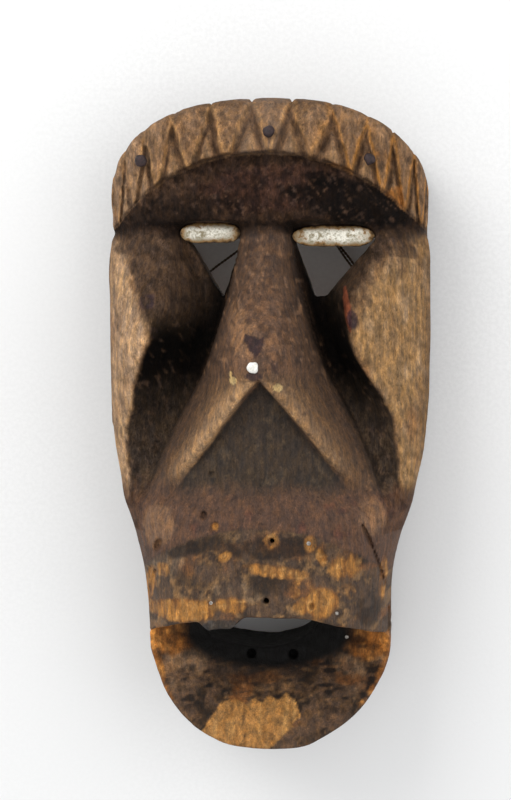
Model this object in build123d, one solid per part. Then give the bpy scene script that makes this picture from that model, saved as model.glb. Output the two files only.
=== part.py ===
"""Carved wooden face mask with a projecting muzzle, metal eyelid plates, iron nails and a hanging cord.

Millimetres. The back rim lies on Y = 0, the face looks along -Y, Z points up and X = 0 is the middle of the face.
"Depth" below always means the distance of a surface in front of the back rim, so depth = -Y, and heights are
measured from the chin's lowest point. Finished pieces are lowered by ORIGIN_HEIGHT, which puts the origin on the
flat back rim behind the chin.
"""
from build123d import *
import math
import os

# ---- driving dimensions, millimetres ----
HEIGHT = 301.0            # chin to crown
HALF_WIDTH = 75.0         # half the width across the carved band
CROWN_CENTRE = 256.0      # height where the crown's arc starts
CHIN_TOP = 46.0           # height where the chin starts to close
CHIN_HALF_WIDTH = 56.5
CHIN_SHIFT = 1.6          # the chin sits a little to the right of the middle
SIDE_DEPTH = 38.0         # depth of the face where it turns onto the sides
NOSE_TIP_DEPTH = 96.5
NOSE_TIP_HEIGHT = 176.0
LIP_HEIGHT = 64.0         # lower edge of the upper lip at the middle
LIP_DROP = 13.0           # how much lower the lip is at the corners
JAW_DEPTH = 74.0          # depth of the chin's lip
UNDERSIDE_RISE = 13.0     # the chin's underside is this much higher at the back
WALL = 9.5                # thickness of the side walls
ORIGIN_HEIGHT = 26.0      # the origin lies on the back rim, this far above the chin's lowest point
HOLLOW_LOW = 45.2         # lowest and highest points of the hollowed-out back
HOLLOW_HIGH = 290.5
MOUTH_HALF_WIDTH = 25.0   # the hole from the mouth into the hollow
MOUTH_HALF_HEIGHT = 9.4
MOUTH_CENTRE = (-5.0, 52.0)
BROW_LOW = 243.5          # lower edge of the overhanging brow
GROOVES = 15              # V-shaped gouge cuts across the carved band
PLATE_THICKNESS = 0.9
PLATE_BACK_DEPTH = 55.0
SLOT_PLAY = 0.05          # room around everything set into the wood
NAIL_HEAD = 5.6           # diameter of the forged band nails' heads
NAIL_SHANK = 2.2          # side of their square shanks
NAIL_LENGTH = 18.0
TACK_SHANK = 0.9
CORD_RADIUS = 1.0
CORD_AXIS_DEPTH = 10.0    # the two cord nails share one line at this depth
CORD_AXIS_HEIGHT = 195.0
CORD_ANCHOR = 61.0        # distance of each cord eye from the middle
CORD_PEAK = (13.6, 2.6, 256.4)
CORD_NAIL_RADIUS = 0.9
CORD_EYE_RADIUS = 1.15    # inside radius of the eye round each nail
PEG_HOLES = ((3.7, 73.0, 1.4, 10.0), (5.9, 99.2, 1.1, 9.0))   # x, height, radius, drilled depth
GRID = 5.0                # spacing of the sections and points that carry the carved surfaces


def curve(t, stations):
    """A smooth curve without overshoot through (position, value) stations."""
    if t <= stations[0][0]:
        return stations[0][1]
    if t >= stations[-1][0]:
        return stations[-1][1]
    steps = [b[0] - a[0] for a, b in zip(stations, stations[1:])]
    slopes = [(b[1] - a[1]) / (b[0] - a[0]) for a, b in zip(stations, stations[1:])]
    tangents = [slopes[0]]
    for a, b in zip(slopes, slopes[1:]):
        tangents.append(2 * a * b / (a + b) if a * b > 0 else 0.0)
    tangents.append(slopes[-1])
    i = max(k for k in range(len(steps)) if stations[k][0] <= t)
    s = (t - stations[i][0]) / steps[i]
    low, high = stations[i][1], stations[i + 1][1]
    return ((2 * s**3 - 3 * s**2 + 1) * low + (s**3 - 2 * s**2 + s) * steps[i] * tangents[i]
            + (3 * s**2 - 2 * s**3) * high + (s**3 - s**2) * steps[i] * tangents[i + 1])


def clamp(t):
    return min(max(t, 0.0), 1.0)


def smooth(a, b, t):
    s = clamp((t - a) / (b - a))
    return s * s * (3 - 2 * s)


def mix(a, b, share):
    return a + (b - a) * share


def half_width(z):
    """Half the mask's width at a height: elliptical crown, near-straight cheeks, drawn-in muzzle, round chin."""
    if z > CROWN_CENTRE:
        return HALF_WIDTH * math.sqrt(max(1 - ((z - CROWN_CENTRE) / (HEIGHT - CROWN_CENTRE)) ** 2, 0))
    if z < CHIN_TOP:
        return CHIN_HALF_WIDTH * math.sqrt(max(1 - clamp((CHIN_TOP - z) / CHIN_TOP) ** 1.65, 0))
    return curve(z, [(46, 56.5), (62, 57), (78, 58.6), (95, 62.5), (115, 68.8), (140, 73.6), (165, 75.6),
                     (190, 76.2), (225, 76), (239, 74.6), (256, 75)])


def centre_line(z):
    return CHIN_SHIFT * smooth(90, 30, z)


def wing_edge(z):
    """Distance from the middle of the sharp lower edge of the nose wings; negative above the nose tip."""
    if z > 171:
        return (171 - z) / 1.12
    return curve(z, [(60, 88), (112, 45), (124, 37.5), (135, 29), (147, 19.6), (160, 9.5), (171, 0)])


def face_depth(x, z):
    """Nose with its long wings, the deep channels beside it and the bulging cheeks."""
    side = abs(x)
    width = half_width(z)
    left = smooth(6, -6, x)
    crest = min(max(wing_edge(z), 0), 47)
    crest_depth = 95.5 - 0.62 * crest
    if z > 171:
        crest_depth = curve(z, [(168, 96), (176, NOSE_TIP_DEPTH), (186, 92), (205, 80), (236, 65), (245, 63)])
    foot = curve(z, [(112, 56), (123, 52.5), (138, 47), (156, 38.5), (174, 29), (193, 22), (212, 16.8),
                     (230, 13), (245, 12)])
    floor = curve(z, [(112, 63), (121, 60), (140, 54), (160, 49), (186, 45), (208, 47), (232, 49), (245, 53)])
    rise = curve(z, [(112, 57), (123, 54.5), (138, 50), (156, 42), (174, 35), (193, 29), (205, 26), (212, 27),
                     (222, 32), (232, 37), (245, 39)])
    cheek_right = curve(z, [(112, 62), (134, 61.5), (155, 58), (169, 50), (187, 40), (207, 41), (224, 50), (240, 53)])
    cheek_left = curve(z, [(112, 62), (124, 62.5), (142, 63.5), (161, 60.5), (177, 56), (193, 50.5), (207, 48),
                           (224, 44.5), (240, 44)])
    cheek = min(mix(cheek_right, cheek_left, left), width - 5)
    cheek_depth = curve(z, [(112, 58), (135, 61), (154, 65), (172, 70), (189, 75), (205, 73), (220, 67.5), (240, 57)])
    if side < foot:
        bridge = smooth(160, 195, z)
        t = clamp((math.sqrt(side**2 + 16) - 4 - crest) / max(foot - crest - 1, 4))
        return floor + (crest_depth - floor) * (1 - t ** (1.35 + 0.75 * bridge)) ** (1 - 0.25 * bridge)
    if side < cheek:
        s = clamp((side - rise) / max(cheek - rise, 4))
        crisp = smooth(205, 188, z)
        return floor + (cheek_depth - floor) * mix(s * s * (3 - 2 * s), 0.35 * s + 0.65 * s**1.8, crisp)
    q = clamp((side - cheek) / max(width - cheek, 4))
    return cheek_depth - (cheek_depth - SIDE_DEPTH) * q**2.1


def muzzle_depth(x, z):
    """The barrel-shaped muzzle and the hollowed field under the nose."""
    middle = curve(z, [(40, 96), (58, 97.5), (70, 97), (90, 93), (110, 86.5), (125, 81), (145, 79.5), (160, 82),
                       (170, 86)])
    share = clamp(abs(x) / max(half_width(z), 1))
    barrel = SIDE_DEPTH + (middle - SIDE_DEPTH) * max(1 - share**3, 0) ** 0.6
    return mix(barrel, middle - 0.0062 * x * x, smooth(106, 124, z))


def brow_depth(x, z):
    middle = curve(z, [(236, 58), (243, 64.5), (252, 67), (262, 66), (272, 63.5), (290, 61), (301, 55)])
    share = clamp(abs(x) / max(half_width(z), 1))
    return SIDE_DEPTH + (middle - SIDE_DEPTH) * max(1 - share**3, 0) ** 0.7


def band_edge(x):
    """Lower edge of the carved band across the top of the forehead."""
    return 274 - 36 * (abs(x) / HALF_WIDTH) ** 2.2


def band_depth(x, z):
    middle = curve(z, [(236, 70), (262, 70), (275, 69), (288, 64), (297, 56), (301, 48)])
    return 26 + (middle - 26) * max(1 - clamp(abs(x) / 79) ** 3, 0) ** 0.65


def upper_depth(x, z):
    """The whole carved front above the mouth."""
    depth = mix(face_depth(x, z), muzzle_depth(x, z), smooth(-3, 3, wing_edge(z) - abs(x)))
    depth = mix(depth, muzzle_depth(x, z), smooth(130, 104, z))
    depth = mix(depth, brow_depth(x, z), smooth(236.5, 244.5, z))
    return mix(depth, band_depth(x, z), smooth(-3, 3, z - band_edge(x)))


def jaw_depth(x, z):
    """The scooped front of the lower jaw."""
    middle = curve(z, [(0, JAW_DEPTH), (8, 70), (20, 60), (38, 43.5), (48, 41), (70, 40)])
    return middle + 0.003 * x * x


def hollow_half_width(z):
    if z < 88:
        return 49 * math.sqrt(max(1 - ((88 - z) / (88 - HOLLOW_LOW)) ** 2, 0))
    if z > 254:
        return 65.5 * math.sqrt(max(1 - ((z - 254) / (HOLLOW_HIGH - 254)) ** 2, 0))
    return half_width(z) - WALL - 3.6 * smooth(100, 88, z)


def hollow_depth(x, z):
    """The scooped-out inside that fits over a face, with a pocket behind the nose."""
    middle = curve(z, [(40, 40), (48, 52), (62, 70), (90, 74), (115, 64), (150, 40), (190, 34), (235, 37),
                       (255, 43), (270, 41), (283, 32), (292, 20)])
    share = clamp(abs(x) / max(hollow_half_width(z), 30))
    nose = 32 * math.exp(-((x / 12) ** 2)) * smooth(225, 195, z) * smooth(118, 150, z)
    return 13 + (middle - 13) * max(1 - share**2.8, 0) ** 0.75 + nose


def prism(edges, start, end):
    """A straight solid along -Y between two depths, from closed edges drawn as (x, height)."""
    face = make_face(edges)
    return extrude(Plane.XZ.offset(start) * face, end - start)


def softened(depth, x, z):
    """Depth averaged over a few millimetres, so that no edge is sharper than the grid can carry."""
    around = [(x + i * GRID / 2, z + j * GRID / 2) for i in (-1, 0, 1) for j in (-1, 0, 1)]
    return sum(depth(a, b) for a, b in around) / 9


def carved_block(depth, low, high, reach):
    """Everything behind a carved surface, lofted through level sections between two heights."""
    columns = round(2 * reach / GRID)
    rows = round((high - low) / GRID)
    even = [i / columns for i in range(columns + 1)]
    sections = []
    for j in range(rows + 1):
        z = low + (high - low) * j / rows
        xs = [-reach + 2 * reach * i / columns for i in range(columns + 1)]
        front = [Vector(x, -softened(depth, x, z), z) for x in xs]
        back = Wire.make_polygon([front[-1], Vector(reach, 5, z), Vector(-reach, 5, z), front[0]], close=False)
        sections.append(Wire([Edge.make_spline(front, parameters=even)] + list(back.edges())))
    return Solid.make_loft(sections)


def outline(width, low, high, steps, shift):
    """A closed smooth outline from a half-width rule."""
    heights = [low + (high - low) * (1 - math.cos(math.pi * k / steps)) / 2 for k in range(steps + 1)]
    right = [(width(z) + shift(z), z) for z in heights]
    left = [(shift(z) - width(z), z) for z in reversed(heights[1:-1])]
    return Spline(*(right + left), periodic=True)


def block_outline():
    return prism(outline(half_width, 0, HEIGHT, 22, centre_line), 0, 130)


def below_lip():
    """The space under the arched lip, through the whole depth."""
    arch = [(x, LIP_HEIGHT - LIP_DROP * (abs(x) / CHIN_HALF_WIDTH) ** 3) for x in (-66, -54, -36, 0, 36, 54, 66)]
    lip = Spline(*arch)
    rest = Polyline(arch[-1], (70, -12), (-70, -12), arch[0])
    return prism([lip, rest], -20, 140)


def hollow():
    core = prism(outline(hollow_half_width, HOLLOW_LOW, HOLLOW_HIGH, 18, lambda z: 0.0), -5, 100)
    return carved_block(hollow_depth, HOLLOW_LOW - 6, HOLLOW_HIGH + 6, 76) & core


def eye_holes():
    left = Polyline((-37.5, 236), (-20.5, 208), (-10.8, 236), close=True)
    right = Polyline((12.4, 236), (22.5, 208.4), (28, 208.8), (50.2, 234), (50.2, 236), close=True)
    return [prism(left, -1, 110), prism(right, -1, 110)]


def mouth_hole():
    return extrude(Plane.XZ * Pos(*MOUTH_CENTRE) * Ellipse(MOUTH_HALF_WIDTH, MOUTH_HALF_HEIGHT), 60)


def underside():
    """The wedge taken off under the chin, so that it rises towards the back."""
    wedge = make_face(Polyline((-JAW_DEPTH - 12, -2.2), (0, UNDERSIDE_RISE), (2, UNDERSIDE_RISE), (2, -8),
                               (-JAW_DEPTH - 12, -8), close=True))
    return extrude(Plane.YZ.offset(-70) * wedge, 140)


def plate_outline(x_left, x_right, z_low, z_high, grow):
    """A flat strip with full round ends."""
    middle = Pos((x_left + x_right) / 2, (z_low + z_high) / 2)
    strip = SlotOverall(x_right - x_left + 2 * grow, z_high - z_low + 2 * grow)
    return Plane.XZ * middle * strip


PLATES = {
    "eyelid_plate_left": (-40.0, -11.4, 233.2, 246.0),
    "eyelid_plate_right": (12.2, 50.4, 231.4, 245.6),
}


def plate(name, grow=0.0):
    """An eyelid plate, its top edge let into a kerf under the brow."""
    sketch = plate_outline(*PLATES[name], grow)
    return Pos(0, -PLATE_BACK_DEPTH + grow, 0) * extrude(sketch, PLATE_THICKNESS + 2 * grow)


def plate_recess(name):
    """Flat seat in front of a plate, up to the brow's edge; the kerf above it keeps the plate's own thickness."""
    x_left, x_right, z_low, z_high = PLATES[name]
    seat = Plane.XZ * Pos((x_left + x_right) / 2, (z_low - 0.6 + BROW_LOW) / 2) * Rectangle(
        x_right - x_left + 1.6, BROW_LOW - z_low + 0.6)
    return Pos(0, -PLATE_BACK_DEPTH + SLOT_PLAY, 0) * extrude(seat, 40) + plate(name, SLOT_PLAY)


def groove(index):
    """One V-shaped gouge cut, wide at alternate ends, that runs up the band and over its top edge."""
    across = -1 + 2 * (index + 0.5) / GROOVES
    x_low = 70 * math.sin(across * math.pi / 2 * 0.97)
    z_low = band_edge(x_low) - 2
    x_high = x_low * 1.02
    z_high = HEIGHT + 6
    wide = 3.6 * (0.45 + 0.55 * math.cos(across * math.pi / 2))
    narrow = 0.5
    wide_low = index % 2 == 0
    low_half = wide if wide_low else narrow
    high_half = narrow if wide_low else wide
    def section(x, z, half, depth):
        return [Vector(x - half, -depth - 14, z), Vector(x + half, -depth - 14, z), Vector(x, -depth, z)]
    bottom_depth = upper_depth(x_low, z_low + 4) - (2.2 if wide_low else 0.2)
    top_depth = upper_depth(x_high, 296) - (0.6 if wide_low else 3.0)
    low = section(x_low, z_low, low_half * 7, bottom_depth)
    high = section(x_high, z_high, high_half * 7, top_depth)
    return Solid.make_loft([Wire.make_polygon(low), Wire.make_polygon(high)], ruled=True)


def rod(x, z, start, radius, length):
    """A round bar towards the front from a depth."""
    return extrude(Plane.XZ.offset(start) * Pos(x, z) * Circle(radius), length)


def square_nail(x, z, depth, proud):
    """Forged nail with a domed head and a tapered square shank, driven straight back."""
    head_back = depth + proud
    dome = 1.9
    ball = NAIL_HEAD**2 / (8 * dome) + dome / 2
    head = Pos(x, -(head_back + dome - ball), z) * Sphere(ball)
    head &= rod(x, z, head_back, NAIL_HEAD / 2 + 1, 20)
    shank = Plane.XZ.offset(head_back - NAIL_LENGTH) * Pos(x, z) * Rectangle(NAIL_SHANK, NAIL_SHANK)
    point = Plane.XZ.offset(head_back - NAIL_LENGTH - 4) * Pos(x, z) * Rectangle(0.4, 0.4)
    return head + extrude(shank, NAIL_LENGTH + 0.2) + loft([point, shank])


def square_hole(x, z, depth, proud):
    side = NAIL_SHANK + 2 * SLOT_PLAY
    start = depth + proud - NAIL_LENGTH
    shank = Plane.XZ.offset(start) * Pos(x, z) * Rectangle(side, side)
    point = Plane.XZ.offset(start - 4.1) * Pos(x, z) * Rectangle(0.5, 0.5)
    return extrude(shank, NAIL_LENGTH + 12) + loft([point, shank])


BAND_NAILS = {
    "band_nail_left": (-57.2, 271.0, 3.0),
    "band_nail_centre": (2.5, 283.3, 1.6),
    "band_nail_right": (47.9, 271.0, 2.0),
}

# x, height, head diameter, dome height, shank length
TACKS = {
    "nose_tack": (-2.3, 177.0, 5.2, 1.5, 8.0),
    "lip_tack_left": (-21.0, 71.7, 1.8, 0.5, 6.0),
    "lip_tack_right": (34.9, 66.8, 1.8, 0.5, 6.0),
    "muzzle_tack": (22.3, 98.2, 2.0, 0.5, 7.0),
    "jaw_tack": (37.7, 48.5, 1.8, 0.5, 6.0),
}


def tack_depth(name):
    x, z = TACKS[name][:2]
    return softened(jaw_depth if name == "jaw_tack" else upper_depth, x, z)


def tack(name):
    """Small tack with a low domed head, its rim just clear of the wood."""
    x, z, head, dome, length = TACKS[name]
    back = tack_depth(name) - 0.2
    ball = head**2 / (8 * dome) + dome / 2
    cap = Pos(x, -(back + dome - ball), z) * Sphere(ball)
    cap &= rod(x, z, back, head, 20)
    return cap + rod(x, z, back + 0.1 - length, TACK_SHANK / 2, length)


def tack_hole(name):
    """Hole for the shank, with a shallow dimple that keeps a sloping surface off the head."""
    x, z, head, dome, length = TACKS[name]
    back = tack_depth(name) - 0.25
    return rod(x, z, back - length, TACK_SHANK / 2 + SLOT_PLAY, length + 8) + rod(x, z, back, head / 2 + 0.15, 8)


def along_x(x, radius, length, grow=0.0):
    """A rod from x outwards through the side wall, on the line that the cord swings round."""
    outwards = 1 if x > 0 else -1
    start = Pos(x, -CORD_AXIS_DEPTH, CORD_AXIS_HEIGHT) * Rot(0, 90 * outwards, 0)
    return start * Cylinder(radius + grow, length + grow, align=(Align.CENTER, Align.CENTER, Align.MIN))


def cord_nail(side):
    """Wire nail driven sideways into the wall from inside the hollow."""
    head = along_x(side * (CORD_ANCHOR - 3.4), 1.9, 0.8)
    return head + along_x(side * (CORD_ANCHOR - 2.9), CORD_NAIL_RADIUS, 14.0)


def cord_nail_hole(side):
    return along_x(side * (CORD_ANCHOR - 2.9), CORD_NAIL_RADIUS, 14.0, SLOT_PLAY)


def hanging_cord():
    """Cord with an eye at each end; its peak hangs over a nail in the wall."""
    ring = CORD_EYE_RADIUS + CORD_RADIUS
    def eye(side):
        return Pos(side * CORD_ANCHOR, -CORD_AXIS_DEPTH, CORD_AXIS_HEIGHT) * Rot(0, 90, 0) * Torus(ring, CORD_RADIUS)
    start = Vector(-CORD_ANCHOR, -CORD_AXIS_DEPTH, CORD_AXIS_HEIGHT + ring)
    peak = Vector(CORD_PEAK[0], -CORD_PEAK[1], CORD_PEAK[2])
    end = Vector(CORD_ANCHOR, -CORD_AXIS_DEPTH, CORD_AXIS_HEIGHT + ring)
    path = FilletPolyline(start, peak, end, radius=3.5)
    strand = sweep(Plane(path @ 0, z_dir=path % 0) * Circle(CORD_RADIUS), path=path)
    return strand + eye(-1) + eye(1)


def peg_hole(x, z, radius, drilled):
    return rod(x, z, softened(upper_depth, x, z) - drilled, radius, drilled + 12)


def mask_body():
    block = block_outline()
    lower_space = below_lip()
    front = (carved_block(upper_depth, 36, HEIGHT + 5, 80) & block) - lower_space
    jaw = carved_block(jaw_depth, -6, 75, 80) & block & lower_space
    cuts = [hollow(), underside(), mouth_hole()] + eye_holes()
    cuts += [groove(index) for index in range(GROOVES)]
    cuts += [plate_recess(name) for name in PLATES]
    cuts += [square_hole(x, z, upper_depth(x, z), proud) for x, z, proud in BAND_NAILS.values()]
    cuts += [tack_hole(name) for name in TACKS]
    cuts += [cord_nail_hole(side) for side in (-1, 1)]
    cuts += [peg_hole(*hole) for hole in PEG_HOLES]
    return (front + jaw) - cuts


def main():
    nodes = {"mask_body": mask_body(), "hanging_cord": hanging_cord()}
    for name in PLATES:
        nodes[name] = plate(name)
    for name, (x, z, proud) in BAND_NAILS.items():
        nodes[name] = square_nail(x, z, upper_depth(x, z), proud)
    for name in TACKS:
        nodes[name] = tack(name)
    nodes["cord_nail_left"] = cord_nail(-1)
    nodes["cord_nail_right"] = cord_nail(1)
    os.makedirs("parts", exist_ok=True)
    for name, shape in nodes.items():
        export_step(Pos(0, 0, -ORIGIN_HEIGHT) * shape, "parts/" + name + ".step")
        print(name, "solids:", len(shape.solids()), "volume:", round(shape.volume, 1))


main()
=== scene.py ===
"""Looks of the carved wooden mask: hand-cut wood with a smoke-dark patina, metal eyelids, nails and cord.

The wood is modelled as a field of signed distances in millimetres (x to the right, depth towards the
viewer, z up from the chin's lowest point) and meshed from it. Everything in the scene is in metres, in
the frame of the CAD part.
"""
import math

import bpy
import numpy as np
import openvdb
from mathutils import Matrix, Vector


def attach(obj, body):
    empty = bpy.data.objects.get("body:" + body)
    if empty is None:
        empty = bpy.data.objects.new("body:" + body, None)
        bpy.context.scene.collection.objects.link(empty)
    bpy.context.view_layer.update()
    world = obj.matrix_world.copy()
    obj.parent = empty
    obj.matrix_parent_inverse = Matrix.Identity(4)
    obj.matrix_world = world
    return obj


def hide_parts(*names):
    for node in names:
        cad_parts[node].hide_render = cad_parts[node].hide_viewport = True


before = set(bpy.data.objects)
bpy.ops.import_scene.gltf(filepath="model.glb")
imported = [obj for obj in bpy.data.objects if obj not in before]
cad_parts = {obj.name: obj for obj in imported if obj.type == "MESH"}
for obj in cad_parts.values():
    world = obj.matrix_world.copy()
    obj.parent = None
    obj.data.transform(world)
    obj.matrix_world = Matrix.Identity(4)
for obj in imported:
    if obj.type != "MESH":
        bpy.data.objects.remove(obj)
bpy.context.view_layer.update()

MM = 0.001
ORIGIN_HEIGHT = 26.0      # the frame's origin is this far above the chin's lowest point
HEIGHT = 301.0
CHIN_TOP = 46.0           # below it the outline is a rounded chin
CHIN_HALF_WIDTH = 56.5
CROWN_FOOT = 256.0        # above it the outline is a rounded crown
CROWN_HALF_WIDTH = 75.0
SIDE_DEPTH = 38.0         # the carved front ends this far in front of the back rim
LIP_HEIGHT = 64.0
NOSE_TIP = 171.0
BAND_HALF_WIDTH = 79.0
BAND_SIDE_DEPTH = 26.0
FACET_PITCH = 19.6        # from one zigzag cut of the band to the next, along the band
MOUTH_CENTRE = (-5.0, 52.0)
MOUTH_HALF_WIDTH = 25.0
MOUTH_HALF_HEIGHT = 9.4
MOUTH_DEPTH = 60.0
HOLLOW_LOW = 47.4
HOLLOW_HIGH = 290.5
HOLLOW_RIM_DEPTH = 13.0
VOXEL = 0.75
FIELD_BOX = ((-81, 81.01), (-2.4, 104.01), (-5, 305.01))     # reaches just past the wood on every side


# ---------------------------------------------------------------- small maths

def curve(t, stations):
    """A smooth curve without overshoot through (position, value) stations."""
    xs = np.array([s[0] for s in stations], float)
    ys = np.array([s[1] for s in stations], float)
    steps = np.diff(xs)
    slopes = np.diff(ys) / steps
    tangents = np.empty(len(xs))
    tangents[0] = slopes[0]
    tangents[-1] = slopes[-1]
    product = slopes[:-1] * slopes[1:]
    total = np.where(product > 0, slopes[:-1] + slopes[1:], 1)
    tangents[1:-1] = np.where(product > 0, 2 * product / total, 0)
    t = np.clip(t, xs[0], xs[-1])
    i = np.clip(np.searchsorted(xs, t) - 1, 0, len(steps) - 1)
    s = (t - xs[i]) / steps[i]
    return ((2 * s**3 - 3 * s**2 + 1) * ys[i] + (s**3 - 2 * s**2 + s) * steps[i] * tangents[i]
            + (3 * s**2 - 2 * s**3) * ys[i + 1] + (s**3 - s**2) * steps[i] * tangents[i + 1])


def smooth(a, b, t):
    """0 before a, 1 after b, with a soft step between them."""
    s = np.clip((t - a) / (b - a), 0, 1)
    return s * s * (3 - 2 * s)


def mix(a, b, share):
    return a + (b - a) * share


def smooth_max(a, b, radius):
    """The larger of two fields, with a rounded corner where they meet."""
    h = np.clip(0.5 + 0.5 * (a - b) / radius, 0, 1)
    return b + (a - b) * h + 0.5 * radius * h * (1 - h)


def noise(x, z, size, seed):
    """Smooth random values between -1 and 1 whose lumps are about `size` across."""
    u = x / size + 31.7 * seed
    v = z / size + 17.3 * seed
    i = np.floor(u)
    j = np.floor(v)
    f = (u - i) ** 2 * (3 - 2 * (u - i))
    g = (v - j) ** 2 * (3 - 2 * (v - j))

    def corner(a, b):
        value = np.sin(a * 127.1 + b * 311.7 + seed * 74.7) * 43758.5453
        return 2 * (value - np.floor(value)) - 1

    low = mix(corner(i, j), corner(i + 1, j), f)
    high = mix(corner(i, j + 1), corner(i + 1, j + 1), f)
    return mix(low, high, g)


def rough(x, z, size, seed, octaves=3):
    """Noise with finer lumps added to the coarse ones."""
    total = 0
    for k in range(octaves):
        total = total + noise(x, z, size / 2**k, seed + k) / 2**k
    return total / 1.7


def spot(x, z, cx, cz, rx, rz, turn=0.0):
    """1 at a place, falling to 0 outside an ellipse turned anticlockwise by degrees."""
    a = math.radians(turn)
    u = ((x - cx) * math.cos(a) + (z - cz) * math.sin(a)) / rx
    v = ((z - cz) * math.cos(a) - (x - cx) * math.sin(a)) / rz
    return smooth(1.3, 0.5, np.sqrt(u * u + v * v))


def spots(x, z, *places):
    """Spots added up, each given as its strength followed by where it lies."""
    return sum(strength * spot(x, z, *place) for strength, *place in places)


def stroke(x, z, start, end, width):
    """1 along a line between two points, falling to 0 at its width."""
    dx, dz = end[0] - start[0], end[1] - start[1]
    t = np.clip(((x - start[0]) * dx + (z - start[1]) * dz) / (dx * dx + dz * dz), 0, 1)
    away = np.hypot(x - start[0] - t * dx, z - start[1] - t * dz)
    return smooth(1, 0.2, away / (width * (1.05 - 0.7 * np.abs(2 * t - 1) ** 3)))


# ---------------------------------------------------------------- carved form

def half_width(z):
    """Half the block's width at a height."""
    side = curve(z, [(CHIN_TOP, CHIN_HALF_WIDTH), (62, 57), (78, 58.6), (95, 62.5), (115, 68.8), (140, 73.6),
                     (165, 75.6), (190, 76.2), (225, 76), (239, 74.6), (CROWN_FOOT, CROWN_HALF_WIDTH)])
    crown_rise = np.clip(1 - ((z - CROWN_FOOT) / (HEIGHT - CROWN_FOOT)) ** 2, 0, 1)
    chin_rise = np.clip(1 - np.clip((CHIN_TOP - z) / CHIN_TOP, 0, 1) ** 1.65, 0, 1)
    crown = CROWN_HALF_WIDTH * np.sqrt(crown_rise)
    chin = CHIN_HALF_WIDTH * np.sqrt(chin_rise)
    return np.where(z > CROWN_FOOT, crown, np.where(z < CHIN_TOP, chin, side))


def centre_line(z):
    """How far the middle of the block lies to the right: the chin leans a little."""
    return 1.6 * smooth(90, 30, z)


def wing_edge(z):
    """Distance of the nose wings' lower edge from the middle; negative above the nose tip."""
    below = curve(z, [(60, 88), (112, 45), (124, 37.5), (135, 29), (147, 19.6), (160, 9.5), (NOSE_TIP, 0)])
    return np.where(z > NOSE_TIP, (NOSE_TIP - z) / 1.12, below)


def nose_foot(z):
    """Distance from the middle at which the nose and its wings meet the channels beside them."""
    return curve(z, [(112, 56), (123, 52.5), (138, 47), (156, 38.5), (174, 29), (193, 22), (212, 16.8),
                     (230, 13), (245, 12)])


def cheek_crest(x, z):
    """Distance of the cheeks' highest line from the middle."""
    right = curve(z, [(112, 62), (134, 61.5), (155, 58), (169, 50), (187, 40), (207, 41), (224, 50),
                      (240, 53)])
    left = curve(z, [(112, 62), (124, 62.5), (142, 63.5), (161, 60.5), (177, 56), (193, 50.5), (207, 48),
                     (224, 44.5), (240, 44)])
    return np.minimum(mix(right, left, smooth(6, -6, x)), half_width(z) - 5)


def nose_depth(side, z, floor):
    """Depth of the nose and its wings, which fall from a crest to the floor of the channels."""
    crest = np.clip(wing_edge(z), 0, 47)
    bridge_depth = curve(z, [(168, 96), (176, 96.5), (186, 92), (205, 80), (236, 65), (245, 63)])
    crest_depth = np.where(z > NOSE_TIP, bridge_depth, 95.5 - 0.62 * crest)
    bridge = smooth(160, 195, z)
    t = np.clip((np.sqrt(side**2 + 16) - 4 - crest) / np.maximum(nose_foot(z) - crest - 1, 4), 0, 1)
    return floor + (crest_depth - floor) * (1 - t ** (1.35 + 0.75 * bridge)) ** (1 - 0.25 * bridge)


def face_depth(x, z):
    """Depth of the nose, the channels beside it and the cheeks."""
    side = np.abs(x)
    floor = curve(z, [(112, 63), (121, 60), (140, 54), (160, 49), (186, 45), (208, 47), (232, 49), (245, 53)])
    rise = curve(z, [(112, 57), (123, 54.5), (138, 50), (156, 42), (174, 35), (193, 29), (205, 26), (212, 27),
                     (222, 32), (232, 37), (245, 39)])
    cheek = cheek_crest(x, z)
    cheek_depth = curve(z, [(112, 58), (135, 61), (154, 65), (172, 70), (189, 75), (205, 73), (220, 67.5),
                            (240, 57)])
    s = np.clip((side - rise) / np.maximum(cheek - rise, 4), 0, 1)
    climb = mix(s * s * (3 - 2 * s), 0.35 * s + 0.65 * s**1.8, smooth(205, 188, z))
    channel = floor + (cheek_depth - floor) * climb
    q = np.clip((side - cheek) / np.maximum(half_width(z) - cheek, 4), 0, 1)
    outer = cheek_depth - (cheek_depth - SIDE_DEPTH) * q**2.1
    return np.where(side < nose_foot(z), nose_depth(side, z, floor), np.where(side < cheek, channel, outer))


def muzzle_depth(x, z):
    """Depth of the barrel-shaped muzzle, and of the hollow under the nose above it."""
    middle = curve(z, [(40, 96), (58, 97.5), (70, 97), (90, 93), (110, 86.5), (125, 81), (145, 79.5),
                       (160, 82), (170, 86)])
    share = np.clip(np.abs(x) / np.maximum(half_width(z), 1), 0, 1)
    barrel = SIDE_DEPTH + (middle - SIDE_DEPTH) * (1 - share**3) ** 0.6
    return mix(barrel, middle - 0.0062 * x * x, smooth(106, 124, z))


def brow_depth(x, z):
    middle = curve(z, [(236, 58), (243, 64.5), (252, 67), (262, 66), (272, 63.5), (290, 61), (301, 55)])
    share = np.clip(np.abs(x) / np.maximum(half_width(z), 1), 0, 1)
    return SIDE_DEPTH + (middle - SIDE_DEPTH) * (1 - share**3) ** 0.7


def band_edge(x):
    """Height of the forehead band's lower edge."""
    return 274 - 36 * (np.abs(x) / 75) ** 2.2


def band_depth(x, z):
    middle = curve(z, [(236, 70), (262, 70), (275, 69), (288, 64), (297, 56), (301, 48)])
    share = np.clip(np.abs(x) / BAND_HALF_WIDTH, 0, 1)
    return BAND_SIDE_DEPTH + (middle - BAND_SIDE_DEPTH) * (1 - share**3) ** 0.65


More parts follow.
